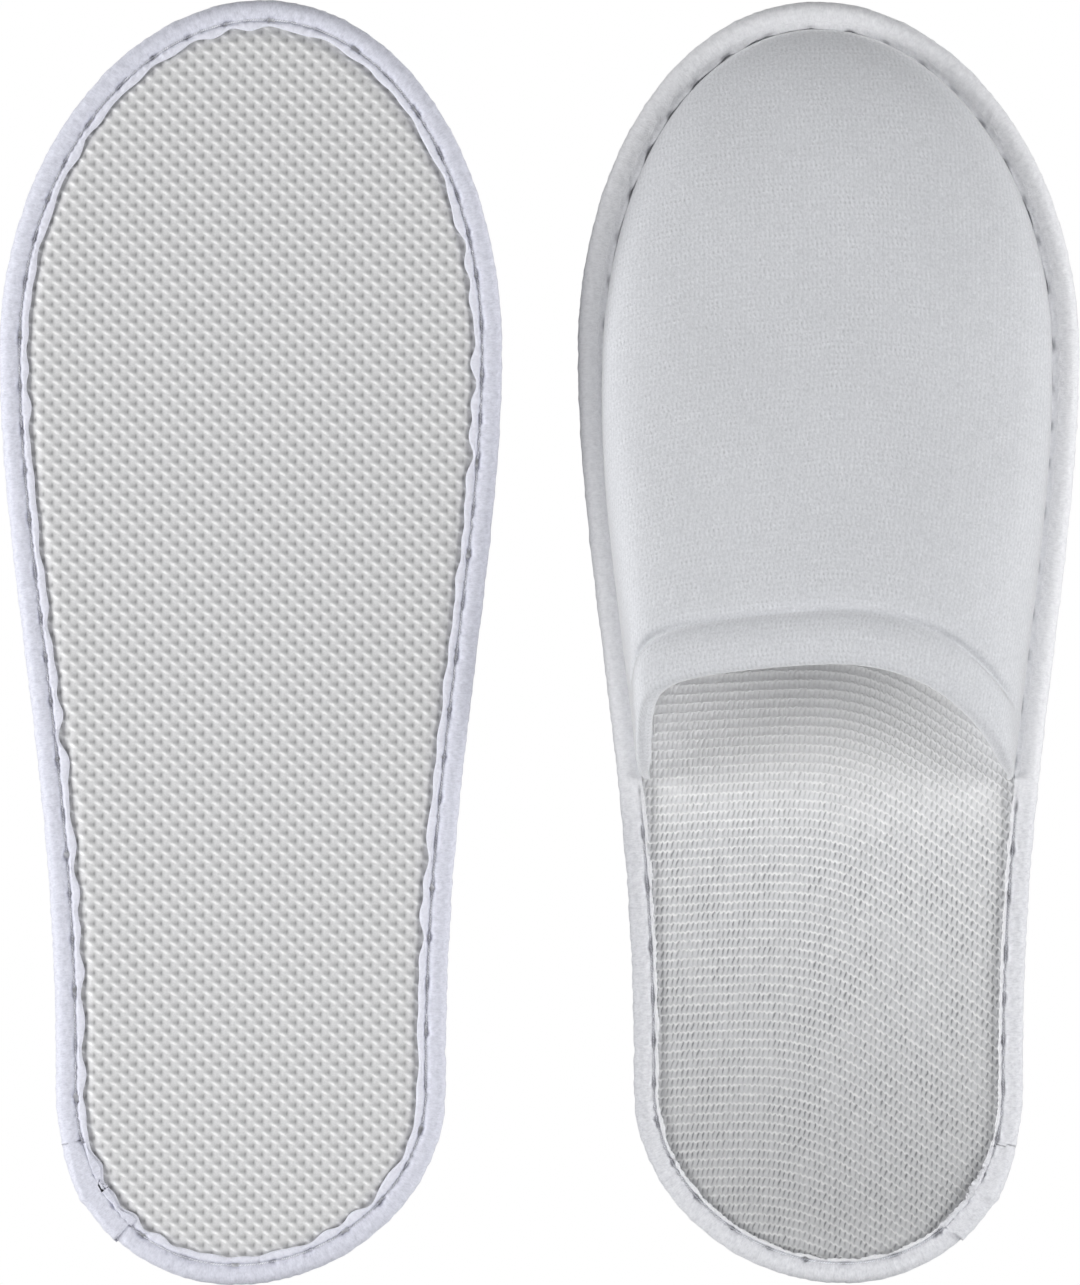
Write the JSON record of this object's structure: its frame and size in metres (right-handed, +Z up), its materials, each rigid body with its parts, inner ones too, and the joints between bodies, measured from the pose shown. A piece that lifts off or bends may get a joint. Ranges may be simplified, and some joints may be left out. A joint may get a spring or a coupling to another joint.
{
  "type": "spa slippers",
  "caption": "Pair of soft closed-toe spa slippers with an embossed foam sole, a knit insole and upper, and a felt edge tape; one stands on its sole, one lies turned over.",
  "frame": {"origin": "on the ground, under the middle of the pair's bounding box", "axes": "+Y towards the toes, +Z up, +X from the turned slipper towards the upright one"},
  "size_m": [0.2398, 0.285, 0.0353],
  "materials": {
    "outsole_foam": "matte embossed foam sheet",
    "inner_foam": "soft open foam",
    "insole_knit": "ribbed warp knit",
    "cover_knit": "brushed fine knit",
    "lining_knit": "plain knit",
    "felt_tape": "soft non-woven felt",
    "thread": "twisted sewing thread"
  },
  "bodies": {
    "upright_forepart": {"upright_outsole_forepart": "outsole_foam", "upright_midsole_foam_forepart": "inner_foam", "upright_insole_forepart": "insole_knit", "upright_edge_tape_forepart": "felt_tape", "upright_under_thread_forepart": "thread", "upright_top_thread_forepart": "thread", "upright_upper_lining": "lining_knit", "upright_upper_foam": "inner_foam", "upright_upper_cover": "cover_knit", "upright_throat_hem": "cover_knit", "upright_hem_thread": "thread"},
    "upright_heel": {"upright_outsole_heel": "outsole_foam", "upright_midsole_foam_heel": "inner_foam", "upright_insole_heel": "insole_knit", "upright_edge_tape_heel": "felt_tape", "upright_under_thread_heel": "thread", "upright_top_thread_heel": "thread"},
    "turned_forepart": {"turned_outsole_forepart": "outsole_foam", "turned_midsole_foam_forepart": "inner_foam", "turned_insole_forepart": "insole_knit", "turned_edge_tape_forepart": "felt_tape", "turned_under_thread_forepart": "thread", "turned_top_thread_forepart": "thread", "turned_upper_lining": "lining_knit", "turned_upper_foam": "inner_foam", "turned_upper_cover": "cover_knit", "turned_throat_hem": "cover_knit", "turned_hem_thread": "thread"},
    "turned_heel": {"turned_outsole_heel": "outsole_foam", "turned_midsole_foam_heel": "inner_foam", "turned_insole_heel": "insole_knit", "turned_edge_tape_heel": "felt_tape", "turned_under_thread_heel": "thread", "turned_top_thread_heel": "thread"}
  },
  "joints": [
    {"name": "upright_flex", "type": "hinge", "parent": "upright_forepart", "child": "upright_heel", "pos_m": [0.06415, -0.052, 0.0066], "axis": [-1, 0, 0], "range_deg": [0, 60], "stiffness_Nm_per_rad": 0.04},
    {"name": "turned_lift", "type": "slide", "parent": "upright_forepart", "child": "turned_forepart", "axis": [0, 0, 1], "range_m": [0, 0.15]},
    {"name": "turned_flex", "type": "hinge", "parent": "turned_forepart", "child": "turned_heel", "pos_m": [-0.06415, -0.052, 0.0192], "axis": [-1, 0, 0], "range_deg": [0, 60], "stiffness_Nm_per_rad": 0.04}
  ]
}
